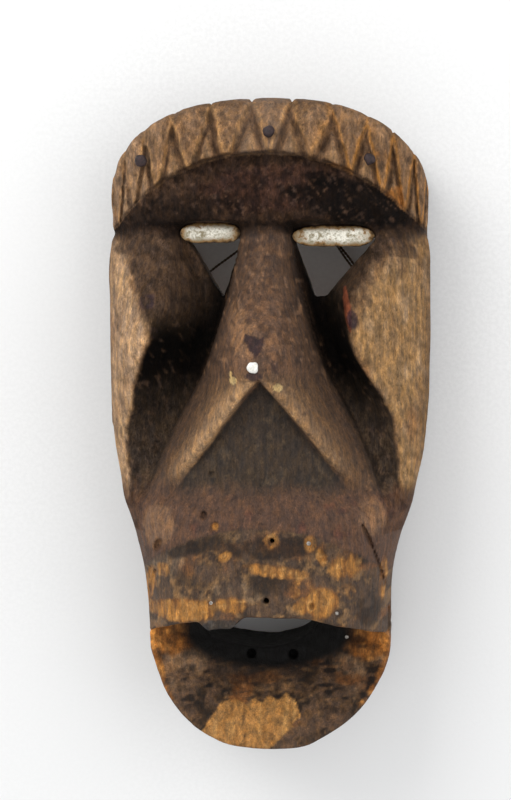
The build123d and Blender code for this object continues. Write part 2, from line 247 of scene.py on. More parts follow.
def band_facets(x, z):
    """Signed distance into the band's facets that point down, and height of their zigzag cuts."""
    along = BAND_HALF_WIDTH * np.arcsin(np.clip(x / BAND_HALF_WIDTH, -1, 1))
    run = curve(np.abs(along), [(0, 0), (40, 41), (80, 88), (125, 150)]) * np.sign(x)
    up = np.clip((z - band_edge(x)) / np.maximum(299 - 21 * (x / 60) ** 2 - band_edge(x), 8), 0, 1.15)
    wander = 1.6 * noise(run, up * 20, 9, 5) + 0.5 * noise(run, up * 20, 3, 6)
    phase = ((run + wander - 2.8) / FACET_PITCH + 0.5) % 1 - 0.5
    into = (0.5 * (0.06 + 0.9 * up) - np.abs(phase)) * FACET_PITCH
    ridge = np.exp(-((into - 0.3) / 0.9) ** 2)
    trough = np.exp(-((into + 2.4) / 2.0) ** 2) * smooth(1.5, 0.8, up)
    swell = smooth(0, 7, into) * (0.4 + 2.0 * up)
    scars = 0.5 * noise(run, z * 0.3, 2.6, 7) + 0.3 * noise(x, z, 1.7, 8)
    return into, 1.1 * ridge - 2.8 * trough + swell + scars


def lip_line(x):
    """Height of the upper lip's chipped lower edge."""
    chips = 0.7 * rough(x, 0 * x, 7, 11) + 1.5 * spot(x, 0 * x, 3, 0, 26, 1)
    return LIP_HEIGHT - 13 * (np.abs(x) / 56) ** 3 + chips - 4.5 * spot(x, 0 * x, -17, 0, 9, 1)


def upper_depth(x, z):
    """Depth of the whole front above the mouth."""
    depth = mix(face_depth(x, z), muzzle_depth(x, z), smooth(-0.9, 0.9, wing_edge(z) - np.abs(x)))
    depth = mix(depth, muzzle_depth(x, z), smooth(130, 104, z))
    crust = 1.3 * rough(x, z, 9, 9) + 0.6 * rough(x, z, 3.2, 10)
    depth = mix(depth, brow_depth(x, z) + crust, smooth(238.5, 243.5, z + 1.6 * rough(x, z, 9, 3)))
    edge = z - band_edge(x) + 1.3 * noise(x, z, 6, 4) + 0.6 * noise(x, z, 2.4, 5)
    return mix(depth, band_depth(x, z) + band_facets(x, z)[1], smooth(-0.6, 0.6, edge))


def jaw_depth(x, z):
    """Depth of the scooped lower jaw."""
    middle = curve(z, [(0, 74), (8, 70), (20, 60), (38, 43.5), (48, 41), (70, 40)])
    return middle + 0.003 * x * x


def hollow_half_width(z):
    low = 49 * np.sqrt(np.clip(1 - ((88 - z) / 42.8) ** 2, 0, 1))
    high = 65.5 * np.sqrt(np.clip(1 - ((z - 254) / 36.5) ** 2, 0, 1))
    side = half_width(z) - 9.5 - 3.6 * smooth(100, 88, z)
    return np.where(z < 88, low, np.where(z > 254, high, side))


def hollow_depth(x, z):
    """Depth of the hollow at the back, with its pocket behind the nose."""
    middle = curve(z, [(40, 40), (48, 52), (62, 70), (90, 74), (115, 64), (150, 40), (190, 34), (235, 37),
                       (255, 43), (270, 41), (283, 32), (292, 20)])
    share = np.clip(np.abs(x) / np.maximum(hollow_half_width(z), 30), 0, 1)
    nose = 32 * np.exp(-((x / 12) ** 2)) * smooth(225, 195, z) * smooth(118, 150, z)
    return HOLLOW_RIM_DEPTH + (middle - HOLLOW_RIM_DEPTH) * (1 - share**2.8) ** 0.75 + nose


def tool_marks(x, z):
    """Fine unevenness left by adze and knife, and by wear, on the carved front."""
    strokes = 0.55 * noise(x, z * 0.4, 6.5, 21) + 0.3 * noise(x, z * 0.25, 2.6, 22)
    crust = 0.4 * rough(x, z, 3.0, 23)
    lump = 2.2 * spot(x, z, -17, 61, 10, 5, 12) * (1 + 0.5 * rough(x, z, 4, 24))
    return strokes + crust + lump


CRACKS = (            # start, end, width, depth
    ((45.5, 105.5), (50.5, 94), 1.3, 3.5),
    ((50.5, 94), (55.5, 76), 0.9, 3.0),
    ((-49, 83), (-55, 68), 2.0, 2.6),
    ((-52, 84), (-53.5, 77), 1.4, 1.8),
    ((39.5, 204), (41.5, 187), 1.6, 0.9),
)
PITS = (              # depth, x, z, half width, half height, turn in degrees
    (4.0, -47.5, 95, 2.0, 3.2, -35),
    (3.0, -25.5, 109.5, 1.7, 2.0, 20),
    (1.6, -20.5, 105, 1.6, 2.4, -40),
    (1.2, 28.5, 91.5, 2.0, 4.0, 20),
    (1.0, -15.5, 92.5, 3.0, 1.8, 25),
    (1.6, 24.0, 70.5, 1.2, 1.6, 0),
    (1.6, -22.5, 128.0, 1.8, 1.2, 0),
)


def front_cuts(x, z):
    """Depth of the cracks, pits and gouges in the front above the mouth."""
    cracks = [depth * stroke(x, z, start, end, width) for start, end, width, depth in CRACKS]
    pits = [depth * spot(x, z, *place) for depth, *place in PITS]
    return np.maximum.reduce(cracks + pits)


def muzzle_ring(x):
    """Height of the faint step that rings the muzzle."""
    return 104 - 19 * (np.abs(x) / 54) ** 2.2


def eye_distance(x, z, corners):
    """Signed distance, negative inside a convex outline given clockwise."""
    away = np.full(x.shape, -1e9)
    for (x0, z0), (x1, z1) in zip(corners, corners[1:] + corners[:1]):
        length = math.hypot(x1 - x0, z1 - z0)
        away = smooth_max(away, ((x - x0) * (z0 - z1) + (z - z0) * (x1 - x0)) / length, 1.5)
    return away


def outline_distance(x, z):
    """Signed distance to the block's outline seen from the front, negative inside."""
    heights = HEIGHT * (1 - np.cos(np.linspace(0, np.pi, 260))) / 2
    right = centre_line(heights) + half_width(heights)
    left = centre_line(heights) - half_width(heights)
    px = np.concatenate([right, left[::-1]])
    pz = np.concatenate([heights, heights[::-1]])
    away = np.full(x.shape, 1e9)
    for x0, z0, x1, z1 in zip(px, pz, np.roll(px, -1), np.roll(pz, -1)):
        dx, dz = x1 - x0, z1 - z0
        t = np.clip(((x - x0) * dx + (z - z0) * dz) / max(dx * dx + dz * dz, 1e-9), 0, 1)
        away = np.minimum(away, (x - x0 - t * dx) ** 2 + (z - z0 - t * dz) ** 2)
    inside = (np.abs(x - centre_line(z)) < half_width(z)) & (z > 0) & (z < HEIGHT)
    return np.where(inside, -1, 1) * np.sqrt(away)


EYE_LEFT = [(-37.5, 236), (-11, 236), (-20.5, 208)]
EYE_RIGHT = [(12.4, 236), (50.2, 236), (50.2, 234), (28, 208.8), (22.5, 208.4)]
PLATES = {                # middle x and z, half length, half height
    "eyelid_plate_left": (-25.7, 238.0, 14.1, 4.7),
    "eyelid_plate_right": (31.4, 236.4, 19.0, 4.9),
}
PLATE_PLAY = 0.7
PLATE_SEAT = 54.6
PLATE_FRONT = 55.2
PLATE_THICKNESS = 0.9
ROUND_HOLES = (           # x, z, radius, depth at which the hole ends
    (3.7, 73, 1.4, 86),
    (5.9, 99.2, 1.1, 81),
    (-7.7, 39.5, 2.3, 37),
    (12.2, 39.5, 2.3, 37),
)


def plate_distance(x, z, plate, grow):
    """Signed distance to an eyelid plate's outline: flat below, arched above, round at the ends."""
    cx, cz, half_long, half_high = PLATES[plate]
    u = np.clip(np.abs(x - cx) / (half_long + grow), 0, 1)
    top = (half_high + grow) * (1 - u**3.2) ** 0.5
    bottom = (half_high + grow) * (1 - u**5) ** 0.6
    v = z - cz
    return np.maximum(np.where(v > 0, v - top, -v - bottom), np.abs(x - cx) - half_long - grow)


def relief(front, depths):
    """Field of everything behind a front surface, scaled so that it is close to a true distance."""
    slope = np.hypot(*np.gradient(front, VOXEL))
    scale = 1 / np.sqrt(1 + slope**2)
    return ((depths[None, :, None] - front[:, None, :]) * scale[:, None, :]).astype(np.float32)


def flat(field):
    """A field that is the same at every depth."""
    return field[:, None, :].astype(np.float32)


def block_field(x, z, y, depths):
    """The carved block, without its hollow and its holes."""
    lip = flat(lip_line(x) - z)
    upper = relief(upper_depth(x, z) + tool_marks(x, z) - front_cuts(x, z), depths)
    upper = smooth_max(upper, lip, 2.0)
    gouges = 1.3 * noise(x * 0.3, z + 0.12 * x, 4.2, 41) * smooth(10, 30, z) + 0.5 * rough(x * 0.5, z, 3, 42)
    lower = np.maximum(relief(jaw_depth(x, z) + gouges, depths), -lip)
    wood = np.minimum(upper, lower)
    into = band_facets(x, z)[0]
    notches = 2.6 * smooth(2.0, -1.0, into) * smooth(0, 7, z - band_edge(x)) * smooth(73, 62, np.abs(x))
    notches = notches + 1.6 * np.exp(-(((z - 238.6) / 2.2) ** 2)) + 0.5 * noise(x, z, 14, 31)
    sides = flat(outline_distance(x, z)) + flat(notches) * smooth(14, 42, y)
    wood = smooth_max(wood, sides, 4.0)
    wood = smooth_max(wood, flat(-z) + 13 * np.clip(1 - y / 72, 0, 1), 5.0)
    return smooth_max(wood, -y, 1.5)


def hollow_field(x, z, depths):
    """The hollow at the back, cut with an adze."""
    adze = 0.7 * noise(x, z * 0.5, 9, 51) + 0.4 * rough(x, z, 4, 52)
    hollow = relief(hollow_depth(x, z) + adze, depths)
    hollow = np.maximum(hollow, flat(np.abs(x) - hollow_half_width(z)))
    low = HOLLOW_LOW + 0.09 * x + 0.7 * noise(x, 0 * x, 8, 53)
    return np.maximum(hollow, flat(np.maximum(low - z, z - HOLLOW_HIGH)))


def mouth_distance(x, z):
    across = (x - MOUTH_CENTRE[0]) / MOUTH_HALF_WIDTH
    up = (z - MOUTH_CENTRE[1]) / MOUTH_HALF_HEIGHT
    return (np.hypot(across, up) - 1) * MOUTH_HALF_HEIGHT + 0.7 * rough(x, z, 8, 34)


def wood_field(x, z, depths):
    """Signed distance, negative inside the wood."""
    y = depths[None, :, None].astype(np.float32)
    wood = smooth_max(block_field(x, z, y, depths), -hollow_field(x, z, depths), 2.0)
    for corners in (EYE_LEFT, EYE_RIGHT):
        edge = eye_distance(x, z, corners) + 0.35 * noise(x, z, 5, 33)
        wood = smooth_max(wood, -flat(edge), 1.6)
    wood = np.maximum(wood, -np.maximum(flat(mouth_distance(x, z)), y - MOUTH_DEPTH))
    for plate in PLATES:
        seat = plate_distance(x, z, plate, PLATE_PLAY)
        wood = np.maximum(wood, -np.maximum(flat(seat), PLATE_SEAT - y))
    for cx, cz, radius, bottom in ROUND_HOLES:
        hole = np.hypot(x - cx, z - cz) - radius
        wood = np.maximum(wood, -np.maximum(flat(hole), bottom - y))
    return wood


def metres(points):
    """Turns (x, depth, z) in millimetres from the chin into metres in the frame."""
    points = np.asarray(points, float)
    return np.stack([points[..., 0], -points[..., 1], points[..., 2] - ORIGIN_HEIGHT], -1) * MM


def new_object(name, mesh, material, body, node):
    """A visible piece that rides on a body and stands in for a CAD node."""
    piece = bpy.data.objects.new(name, mesh)
    bpy.context.scene.collection.objects.link(piece)
    mesh.materials.append(material)
    mesh.polygons.foreach_set("use_smooth", np.ones(len(mesh.polygons), bool))
    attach(piece, body)
    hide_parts(node)


def quad_mesh(name, points, quads):
    mesh = bpy.data.meshes.new(name)
    mesh.vertices.add(len(points))
    mesh.vertices.foreach_set("co", points.astype(np.float32).ravel())
    mesh.loops.add(quads.size)
    mesh.loops.foreach_set("vertex_index", quads.astype(np.int32).ravel())
    mesh.polygons.add(len(quads))
    mesh.polygons.foreach_set("loop_start", np.arange(0, quads.size, 4, dtype=np.int32))
    mesh.update(calc_edges=True)
    mesh.validate()
    return mesh


def tone(code):
    """Linear colour of a six-digit web colour."""
    values = np.array([int(code[i:i + 2], 16) / 255 for i in (0, 2, 4)])
    return np.where(values < 0.04, values / 12.92, ((values + 0.055) / 1.055) ** 2.4)


class Coat:
    """Colours of the wood's points, laid on as thin layers."""

    def __init__(self, x, z, base):
        self.colour = np.ones((len(x), 3)) * tone(base)
        self.coarse = rough(x, z, 8, 61)
        self.middling = rough(x, z, 3.2, 64)
        self.small = noise(x, z, 1.3, 67)
        self.fibre = noise(x, z * 0.13, 1.4, 68)

    def lay(self, code, share):
        self.colour = mix(self.colour, tone(code), np.clip(share, 0, 1)[:, None])

    def ragged(self, value, low=0.4, high=0.65, coarse=0.25, fine=0.2):
        """A soft patch turned into one with a broken, mottled edge."""
        return smooth(low, high, value + coarse * self.coarse + fine * self.middling + 0.08 * self.small)

    def mottle(self, code, share, where=1.0, fine=0.5):
        """Lays a colour in random blots over a share of a region."""
        value = (1 - fine) * self.coarse + fine * self.middling + 0.15 * self.small
        self.lay(code, where * smooth(0.55 - share, 0.95 - share, value + 0.35))


def band_coat(coat, x, z, on):
    into = band_facets(x, z)[0]
    coat.lay("866a4f", on)
    coat.mottle("644b38", 0.4, 0.45 * on)
    coat.mottle("9c7a58", 0.25, 0.4 * on, 0.6)
    # painted shade: the wood is made darker in the cut troughs of the band's zigzag
    coat.lay("463529", 0.8 * on * np.exp(-((into + 2.4) / 1.6) ** 2) * (0.8 + 0.4 * coat.coarse))
    coat.lay("a3835f", 0.45 * on * smooth(-4, -7, into))
    coat.lay("a08163", 0.35 * on * smooth(3, 8, into))
    coat.lay("a3876c", 0.55 * on * smooth(-42, -66, x + 3 * coat.coarse))
    worn = np.exp(-((into - 0.4) / 1.0) ** 2)
    right = smooth(5, 55, x)
    pale = np.clip(0.7 + 0.55 * coat.middling + 0.25 * coat.coarse, 0, 1)
    coat.lay("b58d60", on * worn * pale * (1 - 0.6 * right))
    coat.lay("b27c3c", on * worn * right * np.clip(0.75 + 0.5 * coat.middling, 0, 1))
    orange = spots(x, z, (0.8, 33, 266, 10, 4, -15), (0.7, 60, 252, 8, 10, -40), (0.5, 52, 276, 12, 9))
    coat.lay("a8713a", on * coat.ragged(orange, 0.45, 0.9))
    # painted shade: a dark line along the band's lower edge, where it steps out over the forehead
    coat.lay("3b2c24", 0.8 * on * smooth(2.2, 0.4, z - band_edge(x) + 0.8 * coat.middling))
    coat.lay("55402f", 0.5 * on * smooth(292, 300, z))


def brow_coat(coat, x, z, on):
    coat.lay("3a2b21", on)
    coat.lay("432e26", 0.75 * on * coat.ragged(spot(x, z, 4, 258, 40, 13, 3), 0.3, 0.9))
    # the brow's dark crust, with painted light and shade from the upper left: lighter on its upper left, near
    # black on its right
    coat.lay("4d3b2e", 0.7 * on * coat.ragged(spot(x, z, -47, 258, 18, 8, 30), 0.4, 0.9))
    coat.lay("0f0b09", 0.9 * on * coat.ragged(spot(x, z, 42, 252, 34, 11, -10), 0.25, 0.8))
    coat.lay("1f1813", 0.55 * on * coat.ragged(spot(x, z, -38, 248, 30, 8, 6), 0.3, 0.9))
    coat.lay("0b0807", 0.85 * on * coat.ragged(spot(x, z, 27, 262, 13, 4, -10), 0.3, 0.8))
    coat.mottle("120d0a", 0.3, 0.6 * on, 0.7)
    hair = noise(x + 0.8 * z, z * 0.5, 1.3, 71) + 0.6 * noise(x - 1.2 * z, z * 0.5, 1.6, 69)
    coat.lay("6b5343", 0.45 * on * smooth(0.4, 1.2, hair) * (0.8 + 0.5 * coat.coarse))
    # painted shade on the brow's underside, above the eyes
    coat.lay("15100d", 0.6 * on * smooth(246, 240, z))


def nose_coat(coat, x, z, on):
    side = np.abs(x)
    across = side / nose_foot(z)
    above = smooth(158, 176, z) * on * smooth(1.15, 0.95, across)
    coat.lay("6e523d", above * smooth(0.98, 0.3, across + 0.15 * coat.coarse))
    coat.lay("4a382b", 0.8 * above * smooth(196, 226, z) * smooth(0.95, 0.5, across))
    # painted highlight along the nose's crest
    ridge = np.exp(-((x + 2.2 - 0.03 * (z - 200)) / 1.3) ** 2)
    coat.lay("8d6b4f", 0.6 * above * ridge * (0.7 + 0.5 * coat.fibre))
    coat.lay("94704f", 0.5 * above * coat.ragged(spot(x, z, -9, 193, 7, 16, 15), 0.35, 0.9))
    coat.mottle("3b2b21", 0.2, 0.65 * above, 0.8)
    flecks = noise(x + 0.3 * z, z * 0.5, 1.5, 70) + 0.4 * coat.coarse
    coat.lay("9a775a", 0.5 * above * smooth(0.35, 1.0, flecks))


def wing_coat(coat, x, z, on):
    side = np.abs(x)
    left = smooth(2, -2, x)
    edge = wing_edge(z)
    across = (side - edge) / np.maximum(nose_foot(z) - np.maximum(edge, 0), 4) + 0.06 * coat.coarse
    below = on * smooth(178, 166, z) * smooth(-0.04, 0.05, across)
    end = mix(smooth(120, 138, z + 3 * coat.coarse), smooth(121, 130, z + 2 * coat.coarse), left)
    coat.lay("59432f", below * smooth(1.0, 0.4, across) * smooth(116, 134, z))
    # the pale wood of the wings with painted light on it: lighter towards their crest, and more so on the
    # left wing, as lit from the upper left
    coat.lay("86684a", 0.85 * below * smooth(0.75, 0.3, across) * end * (0.6 + 0.4 * left))
    bright = 0.8 * below * smooth(0.5, 0.12, across) * end * (0.35 + 0.65 * left)
    coat.lay("b9956c", bright * smooth(176, 166, z) * smooth(112, 146, z))
    coat.lay("3a2c24", 0.6 * below * smooth(0.2, 0.8, coat.middling) * smooth(0.9, 0.3, across) * end)
    flecks = smooth(0.5, 1.0, coat.small + 0.3 * coat.coarse)
    coat.lay("c09a6c", 0.5 * below * flecks * smooth(0.5, 0.1, across) * end)


def cheek_limit(x, z):
    """Distance from the middle at which the pale wood of the cheeks begins."""
    left = curve(z, [(100, 61), (112, 62), (124, 62.5), (142, 63.5), (161, 60.5), (177, 56), (190, 51),
                     (200, 53.5), (212, 57.5), (224, 62), (236, 70)])
    right = curve(z, [(100, 63), (112, 63.5), (134, 61), (155, 58), (169, 50), (187, 40.5), (200, 39),
                      (210, 42), (219, 47), (228, 55), (236, 66)])
    return np.where(x < 0, left, right)


def cheek_coat(coat, x, z, on):
    side = np.abs(x)
    left = x < 0
    above = smooth(184, 200, z)
    wide = mix(1.6, np.where(left, 4.0, 7.0), above)
    broken = mix(0.5, 2.4, above) * coat.coarse + mix(0.7, 1.6, above) * coat.middling
    past = side - cheek_limit(x, z)
    share = smooth(-0.6, 1.0, (past + broken) / wide)
    share = share * smooth(94, 122, z + 6 * coat.coarse) * smooth(240, 232, z + 3 * coat.coarse) * on
    coat.lay("7d6147", share)
    inner = share * smooth(-0.2, 1.6, (past + 2 * broken) / wide)
    coat.lay("ba9a78", inner * left * (0.85 + 0.2 * coat.coarse))
    coat.lay("a38259", inner * ~left * (0.85 + 0.2 * coat.coarse))
    pale_grain = smooth(0.1, 0.75, noise(x, z * 0.25, 3.0, 72))
    coat.lay("b99b78", 0.7 * share * pale_grain * (0.6 + 0.5 * coat.fibre))
    dark_grain = smooth(0.15, 0.8, noise(x, z * 0.2, 2.6, 73))
    coat.lay("6b503a", 0.6 * share * dark_grain * (0.7 + 0.4 * coat.middling))
    coat.lay("8a5a3a", 0.35 * share * smooth(0.3, 0.9, noise(x, z * 0.5, 11, 74)))
    pale = spots(x, z, (1, -69, 168, 4, 3), (1, -66, 152, 3, 4), (1, -70, 140, 3, 3), (0.9, -67, 214, 6, 9))
    coat.lay("c7a37a", 0.6 * share * coat.ragged(pale, 0.5, 0.9))
    # painted shade on the top of the cheeks, under the brow
    coat.lay("3f3025", 0.9 * share * smooth(222, 236, z + 3 * coat.coarse) * smooth(76, 62, side))
    sooty = spots(x, z, (1, 58, 231, 15, 5, -12), (0.8, -63, 232, 12, 4, 8))
    coat.lay("4a3a2e", 0.75 * share * coat.ragged(sooty, 0.35, 0.8))
    # painted shade: the cheeks made darker towards the outline, where they turn away
    coat.lay("5a4433", 0.5 * share * smooth(71, 76, side + 1.5 * coat.coarse))
    red = stroke(x, z, (37, 213), (40, 193), 3.0)
    coat.lay("7d4530", 0.8 * on * coat.ragged(red, 0.45, 0.9, 0.15, 0.3))
    bruise = spots(x, z, (1, 41, 198, 3.4, 5.5, 10), (0.8, -53, 206, 6, 5, 20), (0.6, -50, 192, 3, 4))
    coat.lay("332a33", 0.8 * on * coat.ragged(bruise, 0.5, 0.9))


def channel_coat(coat, x, z, on):
    foot = nose_foot(z)
    beside = np.abs(x) - foot
    share = on * smooth(-4, 3, beside) * smooth(98, 120, z + 4 * coat.coarse)
    climb = smooth(0.1, 1.0, beside / np.maximum(cheek_crest(x, z) - foot, 5) + 0.15 * coat.coarse)
    # the channels' dark crust with painted shade on it: near black deep in the channel, lighter up the cheek
    # slope
    coat.lay("0c0907", share)
    coat.lay("33291f", share * climb * smooth(186, 200, z + 4 * coat.coarse))
    low = smooth(180, 138, z + 5 * coat.coarse)
    coat.lay("4b3f34", 0.95 * share * low)
    coat.mottle("28201a", 0.25, 0.8 * share * low, 0.7)
    coat.lay("5a493a", 0.6 * share * low * smooth(0.3, 1.0, coat.middling + 0.3 * coat.small))
    coat.lay("4b3a2d", 0.7 * share * smooth(195, 206, z) * coat.ragged(climb, 0.5, 1.0, 0.2, 0.4))
    hair = noise(x + 0.4 * z, z * 0.7, 1.7, 75)
    coat.lay("6a5443", 0.45 * share * smooth(0.3, 0.9, hair) * np.clip(climb + low, 0.1, 1))
    coat.lay("5d4a3b", 0.4 * share * smooth(192, 206, z) * smooth(-22, -34, x))
    # painted shade: the right channel made darker still
    coat.lay("0c0907", 0.55 * share * smooth(18, 28, x) * smooth(160, 178, z) * smooth(216, 202, z))


def philtrum_coat(coat, x, z, on):
    """The soft dark wood under the nose, between its wings."""
    under = on * smooth(0.2, 1.8, wing_edge(z) - np.abs(x)) * smooth(112, 126, z + 4 * coat.coarse)
    coat.lay("3f342a", under)
    coat.mottle("251e18", 0.35, 0.8 * under, 0.7)
    coat.mottle("5f503f", 0.2, 0.45 * under, 0.8)
    # painted shade just below the wings' lower edge
    coat.lay("211a15", 0.7 * under * smooth(5.5, 0.5, wing_edge(z) - np.abs(x) + 1.5 * coat.coarse))


def muzzle_coat(coat, x, z, on):
    share = on * smooth(126, 112, z + 4 * coat.coarse)
    ring = z - muzzle_ring(x) + 1.2 * coat.middling
    coat.lay("5d4536", share)
    coat.mottle("836349", 0.2, 0.75 * share, 0.75)
    coat.mottle("3b2a22", 0.25, 0.8 * share, 0.7)
    reddish = smooth(0.2, 1.0, coat.coarse + 0.6 * coat.middling)
    coat.lay("6d4338", 0.45 * share * reddish * smooth(92, 104, z))
    worn = spots(x, z, (1, -48, 104, 10, 12, -20), (0.7, 50, 108, 8, 12, 15))
    coat.lay("8a6a4e", 0.7 * share * coat.ragged(worn, 0.35, 0.9))
    coat.lay("2f2520", 0.7 * share * np.exp(-((ring + 0.6) / 1.0) ** 2))
    lip_coat(coat, x, z, share * smooth(0.5, -0.8, ring))


def lip_coat(coat, x, z, on):
    """The sooty part of the muzzle, below its ring."""
    coat.lay("5a4737", on)
    coat.mottle("2c211a", 0.42, 0.85 * on, 0.45)
    coat.mottle("8a6c4a", 0.28, 0.75 * on, 0.6)
    coat.lay("7a4f2c", 0.6 * on * smooth(0.3, 1.0, noise(x * 0.5, z, 5, 79) + 0.5 * coat.middling))
    grey = spots(x, z, (1, -44, 88, 13, 9, 20), (0.8, -8, 76, 16, 6))
    coat.lay("83735f", 0.4 * on * coat.ragged(grey, 0.5, 1.2, 0.5, 0.5))
    sooty = spots(x, z, (1, 6, 96, 24, 6, 3), (0.9, 45, 94, 12, 8, -20), (1, -32, 96, 18, 5, 15),
                  (0.8, 6, 80, 12, 6), (0.8, 48, 66, 7, 10), (0.5, -30, 82, 12, 6))
    coat.lay("211813", 0.85 * on * coat.ragged(sooty, 0.35, 1.0, 0.5, 0.45))


WORN_PATCHES = (          # strength, x, z, half width, half height, turn in degrees
    (1, -36, 67, 24, 6, 6), (0.9, -12, 71, 9, 5), (0.95, 28, 72, 9, 9, 15), (0.8, 20, 71, 5, 5),
    (0.75, 5.9, 99, 5, 4), (0.7, 23, 98, 4, 5), (0.72, 38, 88, 9, 9, 20), (0.62, 8, 86, 20, 4, -8),
    (0.85, -15, 92, 4, 2.5, 25), (0.85, 28, 92, 2.6, 5, 20), (0.8, -20, 105, 2.4, 2.4),
    (0.9, -53, 75, 4, 12, -15), (0.6, 17, 79, 3, 9), (0.75, 55, 80, 2.5, 14, -5), (0.6, -45, 84, 5, 5),
    (0.5, 40, 76, 10, 6),
)


def bare_coat(coat, x, z, on):
    """Places where the patina is worn through to ochre wood."""
    patches = np.maximum.reduce([strength * spot(x, z, *place) for strength, *place in WORN_PATCHES])
    share = coat.ragged(patches, 0.42, 0.85, 0.24, 0.2) * on
    coat.lay("74491f", 0.75 * share)
    bright = 0.5 * coat.fibre + 0.5 * coat.coarse + 1.2 * patches - 0.75
    coat.lay("b27f40", 0.85 * share * smooth(-0.3, 0.6, bright))
    coat.lay("d0a263", 0.55 * share * smooth(0.3, 1.0, 0.7 * coat.small + 0.6 * coat.middling + 0.1))
    coat.lay("3a2415", 0.5 * share * smooth(0.5, 1.1, coat.middling - coat.fibre * 0.4))


def jaw_coat(coat, x, z, on):
    coat.lay("5d4735", on)
    gouge = 0.7 * noise(x * 0.3, z + 0.12 * x, 3.2, 76) + 0.6 * noise(x * 0.35, z - 0.1 * x, 1.4, 78)
    coat.mottle("82623f", 0.3, 0.8 * on, 0.6)
    coat.mottle("17100c", 0.3, 0.9 * on, 0.5)
    coat.lay("94704a", 0.8 * on * smooth(0.25, 0.8, gouge + 0.3 * coat.middling) * smooth(14, 26, z))
    coat.lay("8a5524", 0.6 * on * smooth(0.3, 0.9, noise(x * 0.5, z, 6, 80) + 0.4 * gouge))
    coat.lay("140e0b", 0.9 * on * smooth(-0.15, -0.7, gouge + 0.4 * coat.coarse) * smooth(12, 22, z))
    coat.lay("1d1510", 0.6 * on * coat.ragged(spot(x, z, -2, 33, 30, 8), 0.35, 0.95))
    grey = spots(x, z, (1, -38, 34, 12, 13, -30), (0.8, 40, 33, 10, 11, 30))
    coat.lay("9a7c5e", 0.55 * on * coat.ragged(grey, 0.4, 1.1, 0.5, 0.4))
    corner = np.maximum(spot(x, z, -46, 50, 16, 11, -20), spot(x, z, 48, 49, 15, 12, 15))
    corner = np.maximum(corner, 0.75 * smooth(5.0, 1.0, -outline_gap(x, z)) * smooth(10, 30, z))
    corner = coat.ragged(corner, 0.4, 0.8)
    coat.lay("96602a", 0.95 * on * corner)
    coat.lay("cf9048", 0.85 * on * corner * smooth(-0.1, 0.7, coat.middling + 0.4 * gouge))
    coat.lay("2b1b10", 0.7 * on * corner * smooth(0.2, 0.9, coat.coarse - 0.5 * gouge))
    mouth_coat(coat, x, z, on)
    chin_coat(coat, x, z, on)


def mouth_coat(coat, x, z, on):
    """Painted shade on the jaw in the recess behind the upper lip, ending in streaks along the jaw."""
    streak = noise(x * 0.3, z + 0.12 * x, 1.3, 83) + 0.5 * noise(x * 0.4, z - 0.1 * x, 0.8, 84)
    ragged_edge = 0.12 * coat.coarse + 0.16 * streak
    wide = np.hypot((x - 1) / 37, (z - 53) / 20) + ragged_edge
    deep_lip_shade = np.hypot((x - 1) / 31, (z - 53) / 14.5) + ragged_edge
    # painted shade behind and under the upper lip: dark brown, near black at its core
    coat.lay("20150e", 0.8 * on * smooth(1.15, 0.7, wide))
    coat.lay("060403", 0.97 * on * smooth(1.1, 0.8, deep_lip_shade))
    low = smooth(1.15, 0.9, np.hypot((x - 1) / 30, (z - 40) / 6))
    coat.lay("4a3222", 0.5 * on * low * smooth(0.5, 1.1, streak))


def chin_coat(coat, x, z, on):
    """The bare ochre patch with a ragged top at the foot of the jaw."""
    level = 0 * x
    ragged_top = 1.6 * noise(x, level, 9, 63) + 1.4 * noise(x, level, 3.4, 62)
    ragged_top = ragged_top + 3.0 * spot(x, level, 13, 0, 5, 1)
    rounding = 0.006 * (x + 3) ** 2 + 1.2 * np.clip(np.abs(x + 3) - 17, 0, None)
    edge = np.maximum(z - 21.5 - ragged_top + rounding, 0.8 * (x - z - 2.4))
    share = on * smooth(0.6, -0.8, edge + 1.1 * coat.middling + 0.5 * coat.small)
    coat.lay("a87a43", share)
    coat.lay("8a6033", 0.75 * share * smooth(0.1, 0.7, coat.fibre))
    coat.lay("c99b5c", 0.5 * share * smooth(0.2, 0.8, noise(x, z * 0.2, 2.0, 77)))
    coat.lay("5e4023", 0.6 * share * smooth(0.5, 0.95, coat.middling))


def outline_gap(x, z):
    """Rough distance to the outline seen from the front, negative inside; fine near the chin and jaw."""
    return np.maximum(np.abs(x - centre_line(z)) - half_width(z), -z) * 0.8


def tip_coat(coat, x, z, on):
    """Dark stains and pale crumbs round the tip of the nose."""
    stain = stroke(x, z, (-6, 191), (-1, 184), 3.4) + 0.9 * stroke(x, z, (2, 190), (-2, 181), 2.6)
    stain = stain + 0.55 * stroke(x, z, (6, 180), (12, 170), 3)
    stain = stain + spots(x, z, (0.6, -6, 200, 2.4, 4, 20), (0.9, -2, 173, 5, 2.6), (0.8, -2, 187, 3.4, 4))
    coat.lay("2e2024", 0.85 * on * coat.ragged(stain, 0.4, 0.95, 0.2, 0.35))
    crumbs = spots(x, z, (1, -11.5, 171, 2.2, 1.9), (1, 8.5, 168, 2.5, 1.9), (0.6, -13, 174, 1.2, 1.5))
    coat.lay("d0b277", 0.9 * on * coat.ragged(crumbs, 0.5, 0.8, 0.2, 0.3))


def lump_coat(coat, x, z, on):
    """The grey lump of crust on the lip."""
    lump = coat.ragged(spot(x, z, -17, 60, 11, 5.5, 12), 0.35, 0.7)
    coat.lay("33302e", 0.9 * on * lump)
    coat.lay("5d5853", 0.5 * on * lump * smooth(0.2, 0.9, coat.small))


